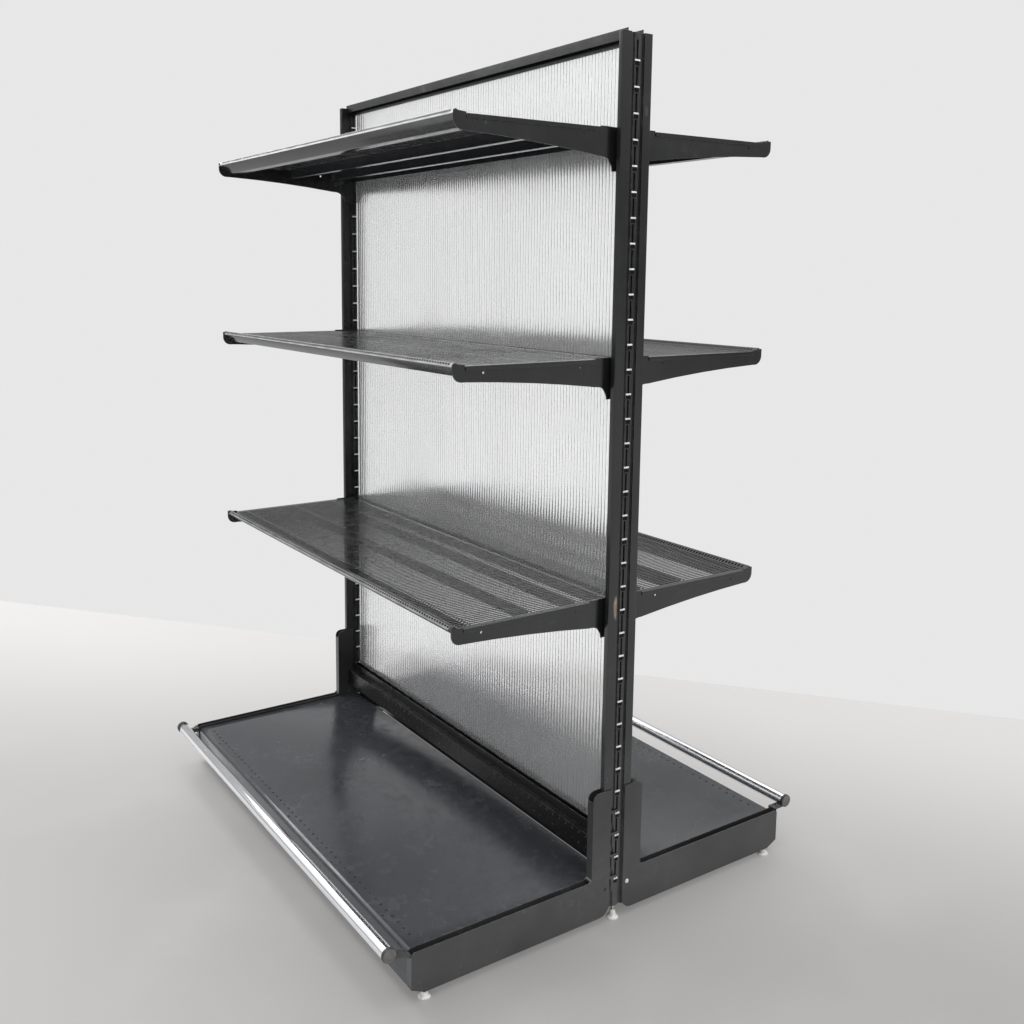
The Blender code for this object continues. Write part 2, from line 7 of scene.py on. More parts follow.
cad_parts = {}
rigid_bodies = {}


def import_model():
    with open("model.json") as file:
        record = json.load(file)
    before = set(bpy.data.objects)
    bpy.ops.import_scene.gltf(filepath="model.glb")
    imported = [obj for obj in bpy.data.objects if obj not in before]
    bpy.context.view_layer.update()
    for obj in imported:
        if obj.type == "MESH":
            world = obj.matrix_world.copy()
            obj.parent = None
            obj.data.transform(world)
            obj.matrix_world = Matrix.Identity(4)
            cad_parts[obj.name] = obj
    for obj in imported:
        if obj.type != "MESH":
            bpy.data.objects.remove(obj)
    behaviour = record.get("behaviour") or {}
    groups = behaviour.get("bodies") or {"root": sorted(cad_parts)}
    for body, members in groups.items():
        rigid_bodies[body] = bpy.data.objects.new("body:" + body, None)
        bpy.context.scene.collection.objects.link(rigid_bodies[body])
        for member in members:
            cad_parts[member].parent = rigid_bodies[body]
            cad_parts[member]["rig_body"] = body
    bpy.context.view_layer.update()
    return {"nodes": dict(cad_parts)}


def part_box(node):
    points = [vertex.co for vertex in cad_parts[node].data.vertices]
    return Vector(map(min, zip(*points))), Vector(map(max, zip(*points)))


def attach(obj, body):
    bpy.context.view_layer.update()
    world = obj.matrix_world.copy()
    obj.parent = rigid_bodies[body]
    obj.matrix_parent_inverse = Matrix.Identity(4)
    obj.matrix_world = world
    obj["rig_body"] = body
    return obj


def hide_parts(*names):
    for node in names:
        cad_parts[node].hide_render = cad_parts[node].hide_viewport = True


for leftover in list(bpy.data.objects):
    bpy.data.objects.remove(leftover)
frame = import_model()
sheetThick = 0.0012
hair = 0.0001  # how far off a line a point may lie and still count as on it
levels = ("low", "mid", "top")
faces = ("front", "back")
sides = ("left", "right")
print("frame loaded:", len(frame["nodes"]), "nodes")


class Wire:
    # a socket of one node tree, with its maths written as operators
    def __init__(self, tree, socket=None):
        self.tree = tree
        self.socket = socket

    def add(self, kind, sockets=None, settings=None, out=0):
        node = self.tree.nodes.new(kind)
        for name, value in (settings or {}).items():
            setattr(node, name, value)
        for name, value in (sockets or {}).items():
            if isinstance(value, Wire):
                self.tree.links.new(value.socket, node.inputs[name])
            else:
                node.inputs[name].default_value = value
        return Wire(self.tree, node.outputs[out] if len(node.outputs) else None)

    def math(self, operation, first, second):
        return self.add("ShaderNodeMath", {0: first, 1: second}, {"operation": operation})

    def __add__(self, other):
        return self.math("ADD", self, other)

    __radd__ = __add__

    def __sub__(self, other):
        return self.math("SUBTRACT", self, other)

    def __rsub__(self, other):
        return self.math("SUBTRACT", other, self)

    def __mul__(self, other):
        return self.math("MULTIPLY", self, other)

    __rmul__ = __mul__

    def vector(self, operation, other=(0, 0, 0), out=0):
        return self.add("ShaderNodeVectorMath", {0: self, 1: other}, {"operation": operation}, out)

    def axis(self, name):
        return self.add("ShaderNodeSeparateXYZ", {"Vector": self}, out=name)

    # 1 for rays of one kind, such as Camera
    def ray(self, kind):
        return self.add("ShaderNodeLightPath", out="Is " + kind + " Ray")

    # 0 below low, 1 above high, smooth between
    def ramp(self, low, high):
        return self.add("ShaderNodeMapRange", {"Value": self, "From Min": low, "From Max": high},
                        {"interpolation_type": "SMOOTHSTEP"})

    # noise read at this place, stretched along the axes
    def noise(self, scale, stretch=(1, 1, 1), detail=3.0, shift=(0, 0, 0)):
        spot = self.add("ShaderNodeMapping", {"Vector": self, "Scale": stretch, "Location": shift})
        return self.add("ShaderNodeTexNoise", {"Vector": spot, "Scale": scale, "Detail": detail})

    # from one colour to another, by this factor
    def blend(self, first, second):
        return self.add("ShaderNodeMix", {0: self, 6: first, 7: second}, {"data_type": "RGBA"}, 2)

    # this colour with another laid over it
    def under(self, mask, colour):
        return mask.blend(self, colour)

    # 1 within the given half sizes of a point, falling off softly
    def near(self, point, reach):
        gap = self.vector("SUBTRACT", point).vector("DIVIDE", reach)
        return 1 - gap.vector("LENGTH", out="Value").ramp(0.35, 1.0)


def startMaterial(name):
    material = bpy.data.materials.new(name)
    material.use_nodes = True
    material.node_tree.nodes.clear()
    start = Wire(material.node_tree)
    return material, start.add("ShaderNodeTexCoord", out="Object")


def closeMaterial(place, sockets):
    surface = place.add("ShaderNodeBsdfPrincipled", sockets)
    place.add("ShaderNodeOutputMaterial", {"Surface": surface})


paintLooks = {
    "framePaint": {"dark": (0.0075, 0.0078, 0.0083, 1), "pale": (0.013, 0.0135, 0.0145, 1), "rough": 0.20,
                   "shine": 1.50, "scratchAlong": (60, 60, 3), "scratches": 0.08, "swirls": 0.0, "dust": 0.02,
                   "lowDust": 0.085, "edges": 0.55, "scuffs": 0.02},
    # a darker copy of the black paint: painted shade for the bottom rails and kick strips
    "shadedRailPaint": {"dark": (0.0035, 0.0036, 0.0040, 1), "pale": (0.0055, 0.0057, 0.0062, 1), "rough": 0.24,
                  "shine": 1.36, "scratchAlong": (3, 60, 60), "scratches": 0.06, "swirls": 0.0, "dust": 0.05,
                  "lowDust": 0.0, "edges": 0.50, "scuffs": 0.01},
    "shelfPaint": {"dark": (0.009, 0.0096, 0.011, 1), "pale": (0.012, 0.0127, 0.0142, 1), "rough": 0.14,
                   "shine": 1.50, "scratchAlong": (4, 60, 60), "scratches": 0.04, "swirls": 0.0,
                   "dust": 0.006, "lowDust": 0.0, "edges": 0.50, "scuffs": 0.002},
    "deckPaint": {"dark": (0.027, 0.0295, 0.0345, 1), "pale": (0.033, 0.0362, 0.0420, 1), "rough": 0.16,
                  "shine": 1.52, "scratchAlong": (3, 40, 60), "scratches": 0.06, "swirls": 0.03,
                  "dust": 0.012, "lowDust": 0.02, "edges": 0.60, "scuffs": 0.008},
}
wearAndGlintTones = {"dust": (0.36, 0.355, 0.35, 1), "scuff": (0.42, 0.43, 0.45, 1), "speck": (0.50, 0.50, 0.50, 1),
             "scratch": (0.34, 0.34, 0.35, 1), "swirl": (0.55, 0.56, 0.58, 1), "edge": (0.36, 0.355, 0.35, 1)}
rustSpots = {  # the few rusted or bared spots: place, half sizes and colour
    "legToe": ((0.606, -0.500, 0.026), (0.02, 0.026, 0.024), (0.045, 0.034, 0.030, 1)),
    "postMiddle": ((0.607, -0.0188, 0.701), (0.006, 0.009, 0.030), (0.38, 0.29, 0.205, 1)),
    "postHigh": ((0.607, 0.026, 1.700), (0.004, 0.006, 0.014), (0.10, 0.055, 0.032, 1)),
    "legHeel": ((-0.606, 0.470, 0.020), (0.02, 0.024, 0.018), (0.070, 0.032, 0.022, 1)),
}


# black paint with dust, scuffs, scratches, worn edges that are also a painted highlight, and rust spots
def makePaint(name):
    look = paintLooks[name]
    material, place = startMaterial(name)
    flat = place.add("ShaderNodeNewGeometry", out="True Normal")
    soft = place.add("ShaderNodeBevel", {"Radius": 0.0010}, {"samples": 4})
    turn = flat.vector("DOT_PRODUCT", soft, "Value")
    upward = flat.axis("Z").ramp(0.5, 0.95)
    clouds = place.noise(5.0, detail=5.0)
    grime = place.noise(38.0, detail=4.0)
    speck = place.noise(320.0, detail=2.0)
    strokes = place.noise(14.0, look["scratchAlong"], 4.0)
    patch = place.noise(9.0, detail=2.0, shift=(3, 1, 2))
    curl = place.noise(7.0, detail=1.0, shift=(5, 2, 0)) - 0.5
    swirl = (1 - place.math("ABSOLUTE", curl, 0).ramp(0.001, 0.006)) * patch.ramp(0.40, 0.60)
    scratch = strokes.ramp(0.66, 0.74) * patch.ramp(0.45, 0.62)
    scuff = clouds.ramp(0.50, 0.72) * grime.ramp(0.42, 0.70)
    # pale on the rounded edges: edge wear, and a painted highlight where edges catch the light
    wornAndGlintingEdge = (1 - turn).ramp(0.03, 0.20) * (grime * 0.6 + speck * 0.4).ramp(0.42, 0.58)
    dust = (upward * 0.8 + 0.2) * (grime * 0.5 + clouds * 0.5).ramp(0.35, 0.72)
    floorDust = (1 - place.axis("Z").ramp(0.10, 0.45)) * (0.6 + clouds.ramp(0.3, 0.7) * 0.4)
    colour = clouds.ramp(0.3, 0.7).blend(look["dark"], look["pale"])
    colour = colour.under(dust * look["dust"] + floorDust * look["lowDust"], wearAndGlintTones["dust"])
    colour = colour.under(scuff * look["scuffs"], wearAndGlintTones["scuff"])
    colour = colour.under(speck.ramp(0.68, 0.76) * upward * look["scuffs"] * 4, wearAndGlintTones["speck"])
    colour = colour.under(scratch * look["scratches"], wearAndGlintTones["scratch"])
    colour = colour.under(swirl * look["swirls"], wearAndGlintTones["swirl"])
    colour = colour.under(wornAndGlintingEdge * look["edges"], wearAndGlintTones["edge"])
    bared = 0
    for point, reach, tone in rustSpots.values():
        spot = place.near(point, reach) * (0.55 + grime.ramp(0.36, 0.56) * 0.45)
        colour = colour.under(spot * 0.9, tone)
        bared = spot + bared
    rough = look["rough"] - 0.04 + grime * 0.08 + dust * 0.14 + scuff * 0.10 + bared * 0.3
    bumps = place.noise(520.0, detail=1.5) + bared * speck * 3
    normal = place.add("ShaderNodeBump", {"Strength": 0.03, "Distance": 0.0004, "Height": bumps,
                                          "Normal": soft})
    closeMaterial(place, {"Base Color": colour, "Roughness": rough, "Normal": normal, "IOR": look["shine"]})
    return material


chromeLook = {"bright": (0.70, 0.71, 0.73, 1), "dull": (0.52, 0.52, 0.53, 1), "rough": 0.10}


def makeChrome():
    look = chromeLook
    material, place = startMaterial("chromeTube")
    rubbed = place.noise(30.0, (0.3, 4, 4), 5.0)
    specks = place.noise(260.0, detail=3.0).ramp(0.62, 0.72)
    dulled = rubbed.ramp(0.45, 0.75) * 0.5 + specks * 0.35
    colour = dulled.blend(look["bright"], look["dull"])
    rough = look["rough"] + rubbed.ramp(0.4, 0.8) * 0.16 + specks * 0.2
    normal = place.add("ShaderNodeBump", {"Strength": 0.05, "Distance": 0.0005, "Height": rubbed})
    closeMaterial(place, {"Base Color": colour, "Metallic": 1.0, "Roughness": rough, "Normal": normal})
    return material


plasticLooks = {
    "capPlastic": {"clean": (0.016, 0.016, 0.0165, 1), "dirt": (0.050, 0.048, 0.046, 1),
                   # the flat ends of the caps are paler: a painted sheen
                   "ends": (0.12, 0.115, 0.112, 1), "rough": 0.44, "amount": 0.5},
    "footPlastic": {"clean": (0.74, 0.73, 0.70, 1), "dirt": (0.30, 0.26, 0.21, 1),
                    "ends": (0.74, 0.73, 0.70, 1), "rough": 0.40, "amount": 0.5},
}


def makePlastic(name):
    look = plasticLooks[name]
    material, place = startMaterial(name)
    stain = place.noise(70.0, detail=5.0).ramp(0.42, 0.70)
    grain = place.noise(900.0, detail=2.0)
    # paler on faces that point along X, the flat ends: a painted sheen
    sideways = place.add("ShaderNodeNewGeometry", out="True Normal").axis("X")
    end = place.math("ABSOLUTE", sideways, 0).ramp(0.93, 0.99)
    colour = end.blend(look["clean"], look["ends"])
    colour = colour.under(stain * look["amount"], look["dirt"])
    normal = place.add("ShaderNodeBump", {"Strength": 0.12, "Distance": 0.0003, "Height": grain})
    closeMaterial(place, {"Base Color": colour, "Roughness": look["rough"] + stain * 0.25, "Normal": normal})
    return material


mottledLooks = {  # plain surfaces with two tones: zinc, bared steel (also a painted highlight on the slot lips), paint rubbed thin (also a painted highlight on the tray strip) and slotShade, the painted shade of holes and recesses
    "zincThread": {"clean": (0.52, 0.52, 0.50, 1), "mottleTone": (0.30, 0.29, 0.27, 1), "mottle": (0.40, 0.70),
                   "scale": 140.0, "along": (1, 1, 1), "detail": 4.0, "rough": 0.32, "unevenness": 0.20,
                   "more": {"Metallic": 1.0}},
    # bared steel for the rivet heads; on the slot lips its pale is a painted highlight
    "bareSteelAndHighlight": {"clean": (0.80, 0.80, 0.80, 1), "mottleTone": (0.52, 0.52, 0.53, 1), "mottle": (0.40, 0.66),
                  "scale": 180.0, "along": (1, 1, 1), "detail": 4.0, "rough": 0.30, "unevenness": 0.15,
                  "more": {"Metallic": 0.3}},
    # paint rubbed thin; on the tray's slanted strip its pale also stands as a painted highlight
    "rubbedPaintAndHighlight": {"clean": (0.27, 0.273, 0.277, 1), "mottleTone": (0.15, 0.152, 0.155, 1),
                    "mottle": (0.35, 0.68), "scale": 60.0, "along": (0.4, 2, 2), "detail": 4.0, "rough": 0.42,
                    "unevenness": 0.15, "more": {}},
    # painted shade: a near-black laid in holes, in recesses and behind holes, where there is only shade
    "slotShade": {"clean": (0.0015, 0.0015, 0.0016, 1), "mottleTone": (0.005, 0.005, 0.005, 1),
                  "mottle": (0.35, 0.70), "scale": 90.0, "along": (1, 1, 1), "detail": 3.0, "rough": 0.60,
                  "unevenness": 0.20, "more": {"IOR": 1.3}},
}


def makeMottled(name):
    look = mottledLooks[name]
    material, place = startMaterial(name)
    mottle = place.noise(look["scale"], look["along"], look["detail"])
    colour = mottle.ramp(*look["mottle"]).blend(look["clean"], look["mottleTone"])
    rough = look["rough"] + mottle * look["unevenness"]
    closeMaterial(place, {"Base Color": colour, "Roughness": rough, **look["more"]})
    return material


flutePitch = 0.0104
panelLook = {"tint": (0.90, 0.905, 0.91, 1), "haze": (0.82, 0.825, 0.83, 1), "clear": (0.97, 0.975, 0.98, 1),
             "veil": 0.04, "lines": 0.09, "rough": 0.14, "shine": 1.35, "bend": 0.0005, "flute": 0.04}


# clear sheet: its flutes bend what is seen through it and show as hazy lines
def makePanelSkin():
    look = panelLook
    material, place = startMaterial("panelSkin")
    haze = place.noise(4.0, (1, 1, 0.4), 4.0).ramp(0.3, 0.75)
    wave = place.math("SINE", place.axis("X") * (2 * math.pi / flutePitch), 0)
    normal = place.add("ShaderNodeBump", {"Strength": 1.0, "Distance": look["bend"], "Height": wave})
    clear = place.add("ShaderNodeBsdfPrincipled", {
        "Base Color": look["clear"], "Roughness": look["rough"] + haze * 0.08, "IOR": look["shine"],
        "Transmission Weight": 1.0, "Normal": normal})
    tinted = haze.blend(look["tint"], look["haze"])
    veil = place.add("ShaderNodeBsdfPrincipled", {"Base Color": tinted, "Roughness": 0.35})
    cover = look["veil"] + wave.ramp(-0.2, 0.9) * look["lines"] + haze * 0.03
    mixed = place.add("ShaderNodeMixShader", {0: cover, 1: clear, 2: veil})
    place.add("ShaderNodeOutputMaterial", {"Surface": mixed})
    return material


def makePanelFlute():
    look = panelLook
    material, place = startMaterial("panelFlute")
    haze = place.noise(6.0, (1, 1, 0.3), 3.0)
    colour = haze.blend(look["tint"], look["haze"])
    closeMaterial(place, {"Base Color": colour, "Roughness": 0.25, "Alpha": look["flute"] + haze * 0.03})
    return material


framePaint = makePaint("framePaint")
shelfPaint = makePaint("shelfPaint")
deckPaint = makePaint("deckPaint")
shadedRailPaint = makePaint("shadedRailPaint")
chromeTube = makeChrome()
capPlastic = makePlastic("capPlastic")
footPlastic = makePlastic("footPlastic")
zincThread = makeMottled("zincThread")
panelSkin = makePanelSkin()
panelFlute = makePanelFlute()
bareSteelAndHighlight = makeMottled("bareSteelAndHighlight")
slotShade = makeMottled("slotShade")
rubbedPaintAndHighlight = makeMottled("rubbedPaintAndHighlight")
print("materials made:", len(bpy.data.materials))


# one piece selected and active, in object mode
def only(piece):
    if bpy.context.mode != "OBJECT":
        bpy.ops.object.mode_set(mode="OBJECT")
    bpy.ops.object.select_all(action="DESELECT")
    piece.select_set(True)
    bpy.context.view_layer.objects.active = piece
    return piece


# a new primitive, empty of any earlier selection, left in edit mode with all of it selected
def begin(name, primitive, **sizes):
    if bpy.context.mode != "OBJECT":
        bpy.ops.object.mode_set(mode="OBJECT")
    bpy.ops.object.select_all(action="DESELECT")
    getattr(bpy.ops.mesh, "primitive_" + primitive + "_add")(**sizes)
    piece = bpy.context.object
    piece.name = name
    bpy.ops.object.transform_apply(location=True, rotation=True, scale=True)
    bpy.ops.object.mode_set(mode="EDIT")
    return piece


def stretch(size, middle):
    bpy.ops.transform.resize(value=size, center_override=(0, 0, 0))
    bpy.ops.transform.translate(value=middle)


# edit mode: select the faces or edges that a test accepts, on a face's middle and normal or an edge's ends
def pick(piece, kind, test):
    bpy.ops.mesh.select_mode(type="FACE" if kind == "faces" else "EDGE")
    bpy.ops.mesh.select_all(action="DESELECT")
    shape = bmesh.from_edit_mesh(piece.data)
    for part in getattr(shape, kind):
        ends = [corner.co for corner in part.verts]
        if test(*ends) if kind == "edges" else test(part.calc_center_median(), part.normal):
            part.select_set(True)
    shape.select_flush_mode()
    bmesh.update_edit_mesh(piece.data)


def pull(move):
    bpy.ops.mesh.extrude_edges_move(TRANSFORM_OT_translate={"value": move})


# draw the picked edges along a profile of distances behind the front and heights
def pullAlong(profile):
    for (inset, height), (nextInset, nextHeight) in zip(profile, profile[1:]):
        pull((0, inset - nextInset, nextHeight - height))


def raised(move):
    bpy.ops.mesh.extrude_region_move(TRANSFORM_OT_translate={"value": move})


def cutAcross(axis, places):
    for place in places:
        point = [0, 0, 0]
        point[axis] = place
        normal = [0, 0, 0]
        normal[axis] = 1
        bpy.ops.mesh.select_all(action="SELECT")
        bpy.ops.mesh.bisect(plane_co=point, plane_no=normal)


# add a modifier, set it and apply it
def shaped(piece, kind, **settings):
    only(piece)
    change = piece.modifiers.new("shape", kind)
    for name, value in settings.items():
        setattr(change, name, value)
    bpy.ops.object.modifier_apply(modifier=change.name)
    return piece


def rounded(piece, width, angle, **settings):
    return shaped(piece, "BEVEL", width=width, segments=2, limit_method="ANGLE",
                  angle_limit=math.radians(angle), **settings)


def repeated(piece, count, step):
    return shaped(piece, "ARRAY", count=count, use_relative_offset=False, use_constant_offset=True,
                  constant_offset_displace=step, use_merge_vertices=True, merge_threshold=hair / 2)


# where a row that is centred on the bay begins
def rowStart(count, pitch):
    return -(count - 1) / 2 * pitch


def smoothed(piece, angle=35):
    only(piece)
    bpy.ops.object.shade_smooth_by_angle(angle=math.radians(angle))
    return piece


def joined(piece, others):
    only(piece)
    for other in others:
        other.select_set(True)
    bpy.ops.object.join()
    return piece


# a copy with its own mesh, turned half round for the front and moved, place kept in the mesh
def copied(piece, name, move=(0, 0, 0), turned=False):
    only(piece)
    bpy.ops.object.duplicate(linked=False)
    twin = bpy.context.object
    twin.name = name
    twin.rotation_euler.z = math.pi if turned else 0
    twin.location = move
    bpy.ops.object.transform_apply(location=True, rotation=True, scale=True)
    return twin


def dropped(piece):
    bpy.data.objects.remove(piece)


# cut a centred row of round holes along X; the drill points along Y or Z
def drilled(piece, along, radius, depthwise, height, count, pitch, length=0.02, corners=12):
    turn = {"Y": (math.pi / 2, 0, 0), "Z": (0, 0, 0)}[along]
    first = (rowStart(count, pitch), depthwise, height)
    drill = begin("drill", "cylinder", vertices=corners, radius=radius, depth=length, location=first,
                  rotation=turn)
    repeated(drill, count, (pitch, 0, 0))
    shaped(piece, "BOOLEAN", operation="DIFFERENCE", solver="EXACT", object=drill)
    dropped(drill)
    return piece


# ride a piece on its node's body; None keeps the materials that it has
def dress(piece, node, material):
    if material:
        piece.data.materials.clear()
        piece.data.materials.append(material)
    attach(piece, frame["nodes"][node]["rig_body"])
    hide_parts(node)
    return piece


# a node's shape with its edges rounded, as folded and painted steel has them
def softened(node, name, width, angle=35):
    piece = bpy.data.objects.new(name, frame["nodes"][node].data.copy())
    bpy.context.scene.collection.objects.link(piece)
    only(piece)
    bpy.ops.mesh.customdata_custom_splitnormals_clear()
    bpy.ops.object.mode_set(mode="EDIT")
    bpy.ops.mesh.select_all(action="SELECT")
    bpy.ops.mesh.remove_doubles(threshold=hair / 10)
    bpy.ops.mesh.dissolve_limited(angle_limit=math.radians(1))
    only(piece)
    if width:
        rounded(piece, width, angle, use_clamp_overlap=False)
    return shaped(smoothed(piece, angle), "WEIGHTED_NORMAL", keep_sharp=True)


trayShape = {
    "pitch": 0.00948, "slots": 121, "slotWidth": 0.0047, "slotFrom": 0.024, "slotTo": 0.3845, "bridge": 0.003,
    "wing": (0.0711, 0.3802), "wingDrop": 0.008, "halfWidths": (0.579, 0.5836, 0.588), "solidCrest": 0.005,
    # front edge: distances behind the front, and heights above the shelf
    "ramp": 0.022, "rampHoles": (0.0185, 0.0105),
    "crest": ((0.0085, 0.0060), (0.0066, 0.0070), (0.0052, 0.0068)),
    "noseHoles": ((0.0046, 0.0059), (0.0024, 0.0024)), "noseWiden": 0.0007,
    "nose": ((0.0004, -0.0008), (0, -0.0020), (0.0007, -0.0030), (0.0262, -0.0207), (0.0282, -0.0217),
             (0.0305, -0.0220)),
    "returnAt": 0.355, "returnTop": -0.0052,
    "liner": ((0.0195, -0.0012), (0.0110, 0.0028), (0.0080, 0.0046), (0.0062, 0.0050), (0.0038, 0.0012),
              (0.0038, -0.0010)),
    "linerStart": 0.001, "linerThick": 0.0003,
    "ribsAt": (0.090, 0.210), "ribFoot": 0.014, "ribDrop": 0.027, "ribShort": 0.019,
}
slotsReach = trayShape["slots"] * trayShape["pitch"] / 2


# the flat of the tray with its bands of slots, from the back to the foot of the ramp
def makeSheet(back, rampFoot):
    look = trayShape
    half = look["slotWidth"] / 2
    middle = rowStart(look["slots"], look["pitch"])
    tray = begin("tray", "plane", size=1)
    stretch((look["pitch"], rampFoot - back, 1), (middle, (rampFoot + back) / 2, 0))
    solidAt = (*look["ribsAt"], look["returnAt"])
    bars = [place + way * look["bridge"] / 2 for place in solidAt for way in (-1, 1)]
    cutAcross(0, (middle - half, middle + half))
    cutAcross(1, (look["slotFrom"], look["slotTo"], *bars, *look["wing"]))
    slotBands = list(zip([look["slotFrom"]] + bars[1::2], bars[0::2] + [look["slotTo"]]))
    pick(tray, "faces", lambda spot, way: abs(spot.x - middle) < half
         and any(start < spot.y < end for start, end in slotBands))
    bpy.ops.mesh.delete(type="FACE")
    repeated(tray, look["slots"], (look["pitch"], 0, 0))
    bpy.ops.object.mode_set(mode="EDIT")

    # plain ends: full depth, then past the notch, then over the brackets and down
    bounds = ((back, rampFoot), (look["wing"][0], rampFoot), look["wing"])
    for way in (-1, 1):
        reach = slotsReach
        for width, (start, end) in zip(look["halfWidths"], bounds):
            pick(tray, "edges", lambda one, two: min(way * one.x, way * two.x) > reach - hair
                 and start - hair < min(one.y, two.y) and max(one.y, two.y) < end + hair)
            pull((way * (width - reach), 0, 0))
            reach = width
        pull((0, 0, -look["wingDrop"]))
    return tray


# raised front edge: up the ramp, over the crest, down the slanted strip and back to the return below
def foldEdge(tray, front):
    look = trayShape
    half = look["slotWidth"] / 2
    upper = look["noseHoles"][0][0]
    lower, lowerHeight = look["noseHoles"][1]
    rampUpper, rampLower = look["rampHoles"]
    pick(tray, "edges", lambda one, two: min(one.y, two.y) > front - look["ramp"] - hair)
    slope = look["crest"][0][1] / (look["ramp"] - look["crest"][0][0])
    onRamp = [(inset, (look["ramp"] - inset) * slope) for inset in look["rampHoles"]]
    returnIn = front - look["returnAt"]
    below = [(returnIn, look["nose"][-1][1]), (returnIn, look["returnTop"])]
    pullAlong([(look["ramp"], 0), *onRamp, *look["crest"], *look["noseHoles"], *look["nose"], *below])

    # distance along X from the middle of the nearest slot
    def aside(spot):
        return ((spot.x / look["pitch"] + 0.5) % 1 - 0.5) * look["pitch"]

    def besideHole(spot, way):
        onStrip = upper + hair > front - spot.y > lower - hair and spot.z > lowerHeight - hair
        return onStrip and abs(spot.x) < slotsReach and abs(aside(spot) - way * half) < hair

    for way in (-1, 1):
        pick(tray, "edges", lambda one, two: besideHole(one, way) and besideHole(two, way))
        bpy.ops.transform.translate(value=(way * look["noseWiden"], 0, 0))

    def inHole(spot, way):
        inset = front - spot.y
        inStrip = upper > inset > lower and spot.z > lowerHeight
        inRamp = rampUpper > inset > rampLower and spot.z > 0
        return abs(spot.x) <= slotsReach and abs(aside(spot)) <= half and (inStrip or inRamp)

    pick(tray, "faces", inHole)
    bpy.ops.mesh.delete(type="FACE")


# a stiffener under the tray
def makeRib(place):
    look = trayShape
    width = 2 * (look["halfWidths"][0] - look["ribShort"])
    rib = begin("rib", "plane", size=1)
    stretch((width, look["ribFoot"], 1), (0, place - look["ribFoot"] / 2, -look["ribDrop"] + sheetThick))
    pick(rib, "edges", lambda one, two: min(one.y, two.y) > place - hair)
    pull((0, 0, look["ribDrop"] - 2 * sheetThick))
    shaped(rib, "SOLIDIFY", thickness=sheetThick, offset=0)
    rib.data.materials.append(shelfPaint)
    return rib


# a dark inner sheet of painted shade that closes the view through the holes of the front edge
def makeLiner(front):
    look = trayShape
    start = look["linerStart"]
    inset, height = look["liner"][0]
    liner = begin("liner", "plane", size=1)
    stretch((2 * look["halfWidths"][1], start, 1), (0, front - inset - start / 2, height))
    pick(liner, "edges", lambda one, two: min(one.y, two.y) > front - inset - hair)
    pullAlong(look["liner"])
    shaped(liner, "SOLIDIFY", thickness=look["linerThick"], offset=-1)
    liner.data.materials.append(slotShade)
    return liner


# the slanted strip is rubbed pale, a pale that also stands as a painted highlight, and the walls of its holes
# get painted shade
def paintTray(tray, front):
    look = trayShape
    for material in (shelfPaint, rubbedPaintAndHighlight, slotShade):
        tray.data.materials.append(material)
    for polygon in tray.data.polygons:
        spot, way = polygon.center, polygon.normal
        if spot.y > front - look["ramp"] and spot.z > look["nose"][0][1] and abs(spot.x) < slotsReach:
            onStrip = spot.y > front - look["crest"][-1][0] and way.y > 0.3 and way.z > 0.3
            polygon.material_index = 1 if onStrip else 2 if abs(way.x) > 0.5 else 0


# the tray for the back, its top at height 0
def makeTray():
    look = trayShape
    low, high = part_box("shelf_tray_low_back")
    tray = makeSheet(low.y, high.y - look["ramp"])
    foldEdge(tray, high.y)
    pick(tray, "edges", lambda one, two: max(one.y, two.y) < low.y + hair)
    pull((0, 0, low.z - high.z + look["solidCrest"]))
    shaped(tray, "SOLIDIFY", thickness=sheetThick, offset=-1)
    ribs = [makeRib(place) for place in look["ribsAt"]]
    liner = makeLiner(high.y)
    paintTray(tray, high.y)
    return smoothed(joined(tray, [*ribs, liner]))


tray = makeTray()
for face in faces:
    for level in levels:
        node = "shelf_tray_" + level + "_" + face
        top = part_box(node)[1].z - trayShape["solidCrest"]
        twin = copied(tray, "slotted_tray_" + level + "_" + face, (0, 0, top), face == "front")
        dress(twin, node, None)
print("trays made:", len(tray.data.polygons), "faces each")
dropped(tray)


deckShape = {"roundSteps": 8, "round": 0.012, "backLip": 0.018, "edge": 0.0003, "holeRadius": 0.0026,
             "rows": ((0.4775, 48, 0.0233), (0.4930, 5, 0.2330)),  # each row's place, holes and pitch
             "stripWidth": 0.036, "stripDrop": 0.0045}


# the deck for the back: a sheet with a rounded front, a lip at each edge and holes near the front
def makeDeck():
    look = deckShape
    low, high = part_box("base_deck_back")
    flatEnd = high.y - look["round"]
    deck = begin("deck", "plane", size=1)
    stretch((high.x - low.x, flatEnd - low.y, 1), (0, (flatEnd + low.y) / 2, high.z))
    pick(deck, "edges", lambda one, two: min(one.y, two.y) > flatEnd - hair)
    turn = math.pi / 2 / look["roundSteps"]
    for step in range(look["roundSteps"]):
        start = turn * step
        pull((0, look["round"] * (math.sin(start + turn) - math.sin(start)),
              look["round"] * (math.cos(start + turn) - math.cos(start))))
    pull((0, 0, low.z - (high.z - look["round"])))
    pick(deck, "edges", lambda one, two: max(one.y, two.y) < low.y + hair)
    pull((0, 0, -look["backLip"]))
    shaped(deck, "SOLIDIFY", thickness=sheetThick, offset=-1)
    rounded(deck, look["edge"], 40)
    for place, count, pitch in look["rows"]:
        drilled(deck, "Z", look["holeRadius"], place, high.z, count, pitch)

    # a stiffener under the rows of holes, in the painted-shade material so that the holes look dark
    strip = begin("strip", "cube", size=1)
    middle = (look["rows"][0][0] + look["rows"][1][0]) / 2
    stretch((high.x - low.x - 4 * sheetThick, look["stripWidth"], sheetThick),
            (0, middle, high.z - look["stripDrop"]))
    strip.data.materials.append(slotShade)
    deck.data.materials.append(deckPaint)
    return smoothed(joined(deck, [strip]))


